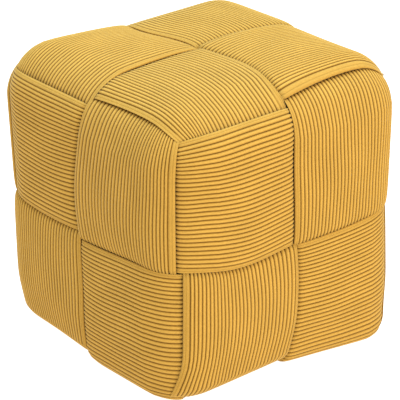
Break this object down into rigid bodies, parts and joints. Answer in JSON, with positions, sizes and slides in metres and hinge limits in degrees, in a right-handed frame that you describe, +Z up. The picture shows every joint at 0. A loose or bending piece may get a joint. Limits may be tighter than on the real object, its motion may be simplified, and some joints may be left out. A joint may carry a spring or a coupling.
{
  "type": "upholstered ottoman",
  "caption": "Cube ottoman wound with wide padded corduroy bands in a plain weave, a low seat or footrest that stands on a flat underside.",
  "frame": {"origin": "on the floor under the middle of the cube", "axes": "+Z up; -Y is the face on the right of the picture, -X the face on its left"},
  "size_m": [0.402, 0.402, 0.401],
  "materials": {
    "corduroy": "ribbed short pile",
    "base_cloth": "matt woven"
  },
  "bodies": {
    "root": {"block": "base_cloth", "upper_ring_band": "corduroy", "lower_ring_band": "corduroy", "left_upright_band": "corduroy", "right_upright_band": "corduroy", "front_upright_band": "corduroy", "back_upright_band": "corduroy"}
  },
  "joints": []
}
